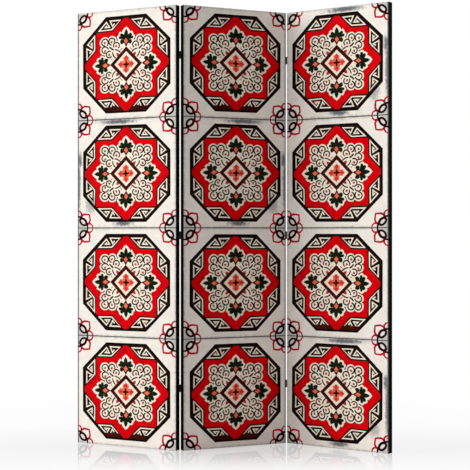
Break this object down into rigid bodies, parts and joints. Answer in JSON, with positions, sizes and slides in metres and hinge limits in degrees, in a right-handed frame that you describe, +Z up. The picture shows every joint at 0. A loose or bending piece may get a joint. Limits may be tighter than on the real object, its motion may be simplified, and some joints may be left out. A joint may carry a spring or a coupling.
{
  "type": "folding screen",
  "caption": "Folding screen: tall canvas panels with tile-pattern prints on pine stretcher frames, joined in a zigzag by small black butt hinges.",
  "frame": {"origin": "middle, at floor level, of the ground that the open screen covers", "axes": "+X to the right as seen from the printed front, +Y from the front to the back, +Z up"},
  "size_m": [1.224, 0.306, 1.72],
  "materials": {
    "canvas_print": "matt printed canvas",
    "canvas_black": "matt black canvas",
    "pine": "planed, unfinished pine",
    "hinge_black": "black enamel",
    "staple_steel": "bright galvanised wire"
  },
  "bodies": {
    "left_panel": {"left_panel_bottom_rail": "pine", "left_panel_top_rail": "pine", "left_panel_left_stile": "pine", "left_panel_right_stile": "pine", "left_panel_lower_cross_bar": "pine", "left_panel_upper_cross_bar": "pine", "left_panel_canvas_face": "canvas_print", "left_panel_canvas_bottom_edge": "canvas_black", "left_panel_canvas_top_edge": "canvas_black", "left_panel_canvas_left_edge": "canvas_black", "left_panel_canvas_right_edge": "canvas_black", "left_panel_staples": "staple_steel", "left_panel_hinge_screws": "hinge_black", "left_top_hinge_outer_leaf": "hinge_black", "left_centre_hinge_outer_leaf": "hinge_black", "left_bottom_hinge_outer_leaf": "hinge_black"},
    "middle_panel": {"middle_panel_bottom_rail": "pine", "middle_panel_top_rail": "pine", "middle_panel_left_stile": "pine", "middle_panel_right_stile": "pine", "middle_panel_lower_cross_bar": "pine", "middle_panel_upper_cross_bar": "pine", "middle_panel_canvas_face": "canvas_print", "middle_panel_canvas_bottom_edge": "canvas_black", "middle_panel_canvas_top_edge": "canvas_black", "middle_panel_canvas_left_edge": "canvas_black", "middle_panel_canvas_right_edge": "canvas_black", "middle_panel_staples": "staple_steel", "middle_panel_hinge_screws": "hinge_black", "left_top_hinge_inner_leaf": "hinge_black", "left_centre_hinge_inner_leaf": "hinge_black", "left_bottom_hinge_inner_leaf": "hinge_black", "right_top_hinge_inner_leaf": "hinge_black", "right_centre_hinge_inner_leaf": "hinge_black", "right_bottom_hinge_inner_leaf": "hinge_black", "left_top_hinge_pin": "hinge_black", "left_centre_hinge_pin": "hinge_black", "left_bottom_hinge_pin": "hinge_black", "right_top_hinge_pin": "hinge_black", "right_centre_hinge_pin": "hinge_black", "right_bottom_hinge_pin": "hinge_black"},
    "right_panel": {"right_panel_bottom_rail": "pine", "right_panel_top_rail": "pine", "right_panel_left_stile": "pine", "right_panel_right_stile": "pine", "right_panel_lower_cross_bar": "pine", "right_panel_upper_cross_bar": "pine", "right_panel_canvas_face": "canvas_print", "right_panel_canvas_bottom_edge": "canvas_black", "right_panel_canvas_top_edge": "canvas_black", "right_panel_canvas_left_edge": "canvas_black", "right_panel_canvas_right_edge": "canvas_black", "right_panel_staples": "staple_steel", "right_panel_hinge_screws": "hinge_black", "right_top_hinge_outer_leaf": "hinge_black", "right_centre_hinge_outer_leaf": "hinge_black", "right_bottom_hinge_outer_leaf": "hinge_black"}
  },
  "joints": [
    {"name": "left_fold", "type": "hinge", "parent": "middle_panel", "child": "left_panel", "pos_m": [-0.19957, -0.05831, 0], "axis": [0, 0, 1], "range_deg": [-127, 58]},
    {"name": "right_fold", "type": "hinge", "parent": "middle_panel", "child": "right_panel", "pos_m": [0.22443, 0.10454, 0], "axis": [0, 0, 1], "range_deg": [-120, 65]}
  ]
}
